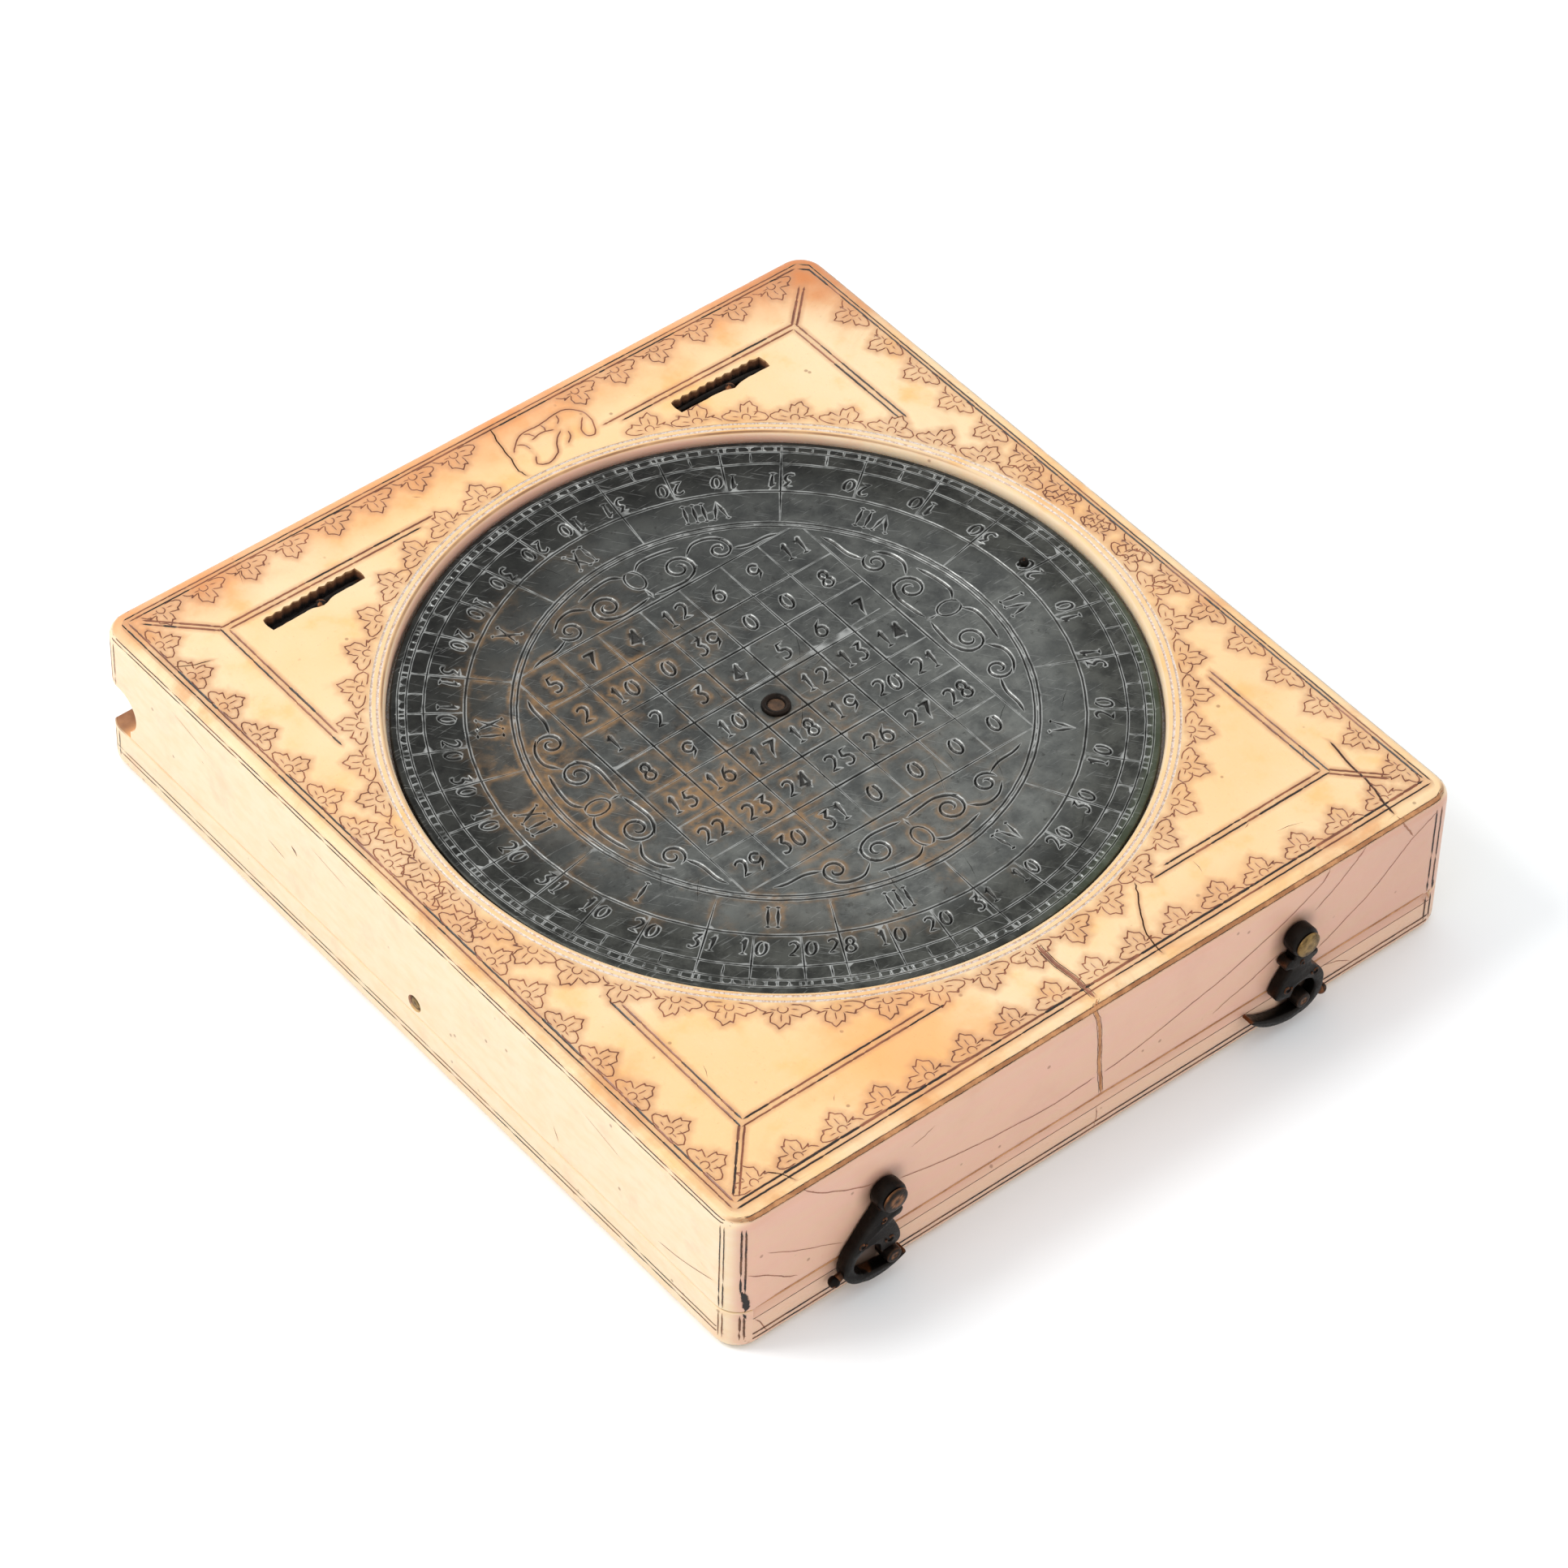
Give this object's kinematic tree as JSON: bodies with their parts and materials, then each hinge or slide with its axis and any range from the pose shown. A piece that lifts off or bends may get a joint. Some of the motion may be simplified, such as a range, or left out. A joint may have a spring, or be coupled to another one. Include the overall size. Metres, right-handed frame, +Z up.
{
  "type": "diptych sundial",
  "caption": "Pocket diptych sundial with hinged ivory leaves, a turning calendar disc, compass and hook latches.",
  "frame": {"origin": "centre of the upper leaf's outer face, on which the closed sundial lies", "axes": "+X along the width, to the right seen from the hooks; +Y from the hooked front edge to the hinged back edge; +Z up, from the upper leaf to the calendar face"},
  "size_m": [0.066, 0.0751, 0.0133],
  "materials": {
    "ivory": "polished, aged",
    "pewter": "dark, worn pewter",
    "bronze": "dark patina",
    "brass": "satin",
    "steel": "blued",
    "card": "matt",
    "glass": "clear"
  },
  "bodies": {
    "upper_leaf": {"upper_leaf": "ivory", "lunar_eyelet": "brass", "catch_peg_left": "bronze", "catch_peg_right": "bronze", "hinge_wire_left_upper": "bronze", "hinge_wire_right_upper": "bronze"},
    "lunar_disc": {"lunar_disc": "pewter"},
    "lower_leaf": {"lower_leaf": "ivory", "hinge_wire_left_lower": "bronze", "hinge_wire_right_lower": "bronze", "hook_rivet_left": "bronze", "hook_rivet_right": "bronze", "compass_card": "card", "compass_glass": "glass", "glass_ring": "brass", "hour_guide_east": "brass", "hour_guide_west": "brass"},
    "calendar": {"calendar_disc": "pewter", "calendar_arbor": "bronze", "turning_peg": "bronze", "crank_plate": "brass", "crank_pin": "brass", "needle_pivot": "steel"},
    "hour_plate": {"hour_plate": "pewter"},
    "compass_needle": {"compass_needle": "steel", "needle_cap": "brass"},
    "hook_left": {"hook_left": "bronze"},
    "hook_right": {"hook_right": "bronze"},
    "pin_gnomon": {"pin_gnomon": "brass"}
  },
  "joints": [
    {"name": "leaf_hinge", "type": "hinge", "parent": "upper_leaf", "child": "lower_leaf", "pos_m": [0, 0.0354, 0.00535], "axis": [-1, 0, 0], "range_deg": [0, 110]},
    {"name": "lunar_disc_turn", "type": "hinge", "parent": "upper_leaf", "child": "lunar_disc", "pos_m": [0, -0.003, 0.0032], "axis": [0, 0, 1], "continuous": true},
    {"name": "calendar_turn", "type": "hinge", "parent": "lower_leaf", "child": "calendar", "pos_m": [0.0005, 0.0002, 0.0122], "axis": [0, 0, 1], "continuous": true},
    {"name": "hour_plate_slide", "type": "slide", "parent": "lower_leaf", "child": "hour_plate", "axis": [0, 1, 0], "range_m": [-0.0036, 0.0036]},
    {"name": "compass_needle_turn", "type": "hinge", "parent": "lower_leaf", "child": "compass_needle", "pos_m": [0.0005, 0.0002, 0.0063], "axis": [0, 0, 1], "continuous": true},
    {"name": "hook_left_turn", "type": "hinge", "parent": "lower_leaf", "child": "hook_left", "pos_m": [-0.0202, -0.0373, 0.0088], "axis": [0, 1, 0], "range_deg": [-21, 90]},
    {"name": "hook_right_turn", "type": "hinge", "parent": "lower_leaf", "child": "hook_right", "pos_m": [0.0175, -0.0373, 0.0088], "axis": [0, -1, 0], "range_deg": [0, 110]},
    {"name": "pin_gnomon_slide", "type": "slide", "parent": "lower_leaf", "child": "pin_gnomon", "axis": [-1, 0, 0], "range_m": [0, 0.015]}
  ]
}
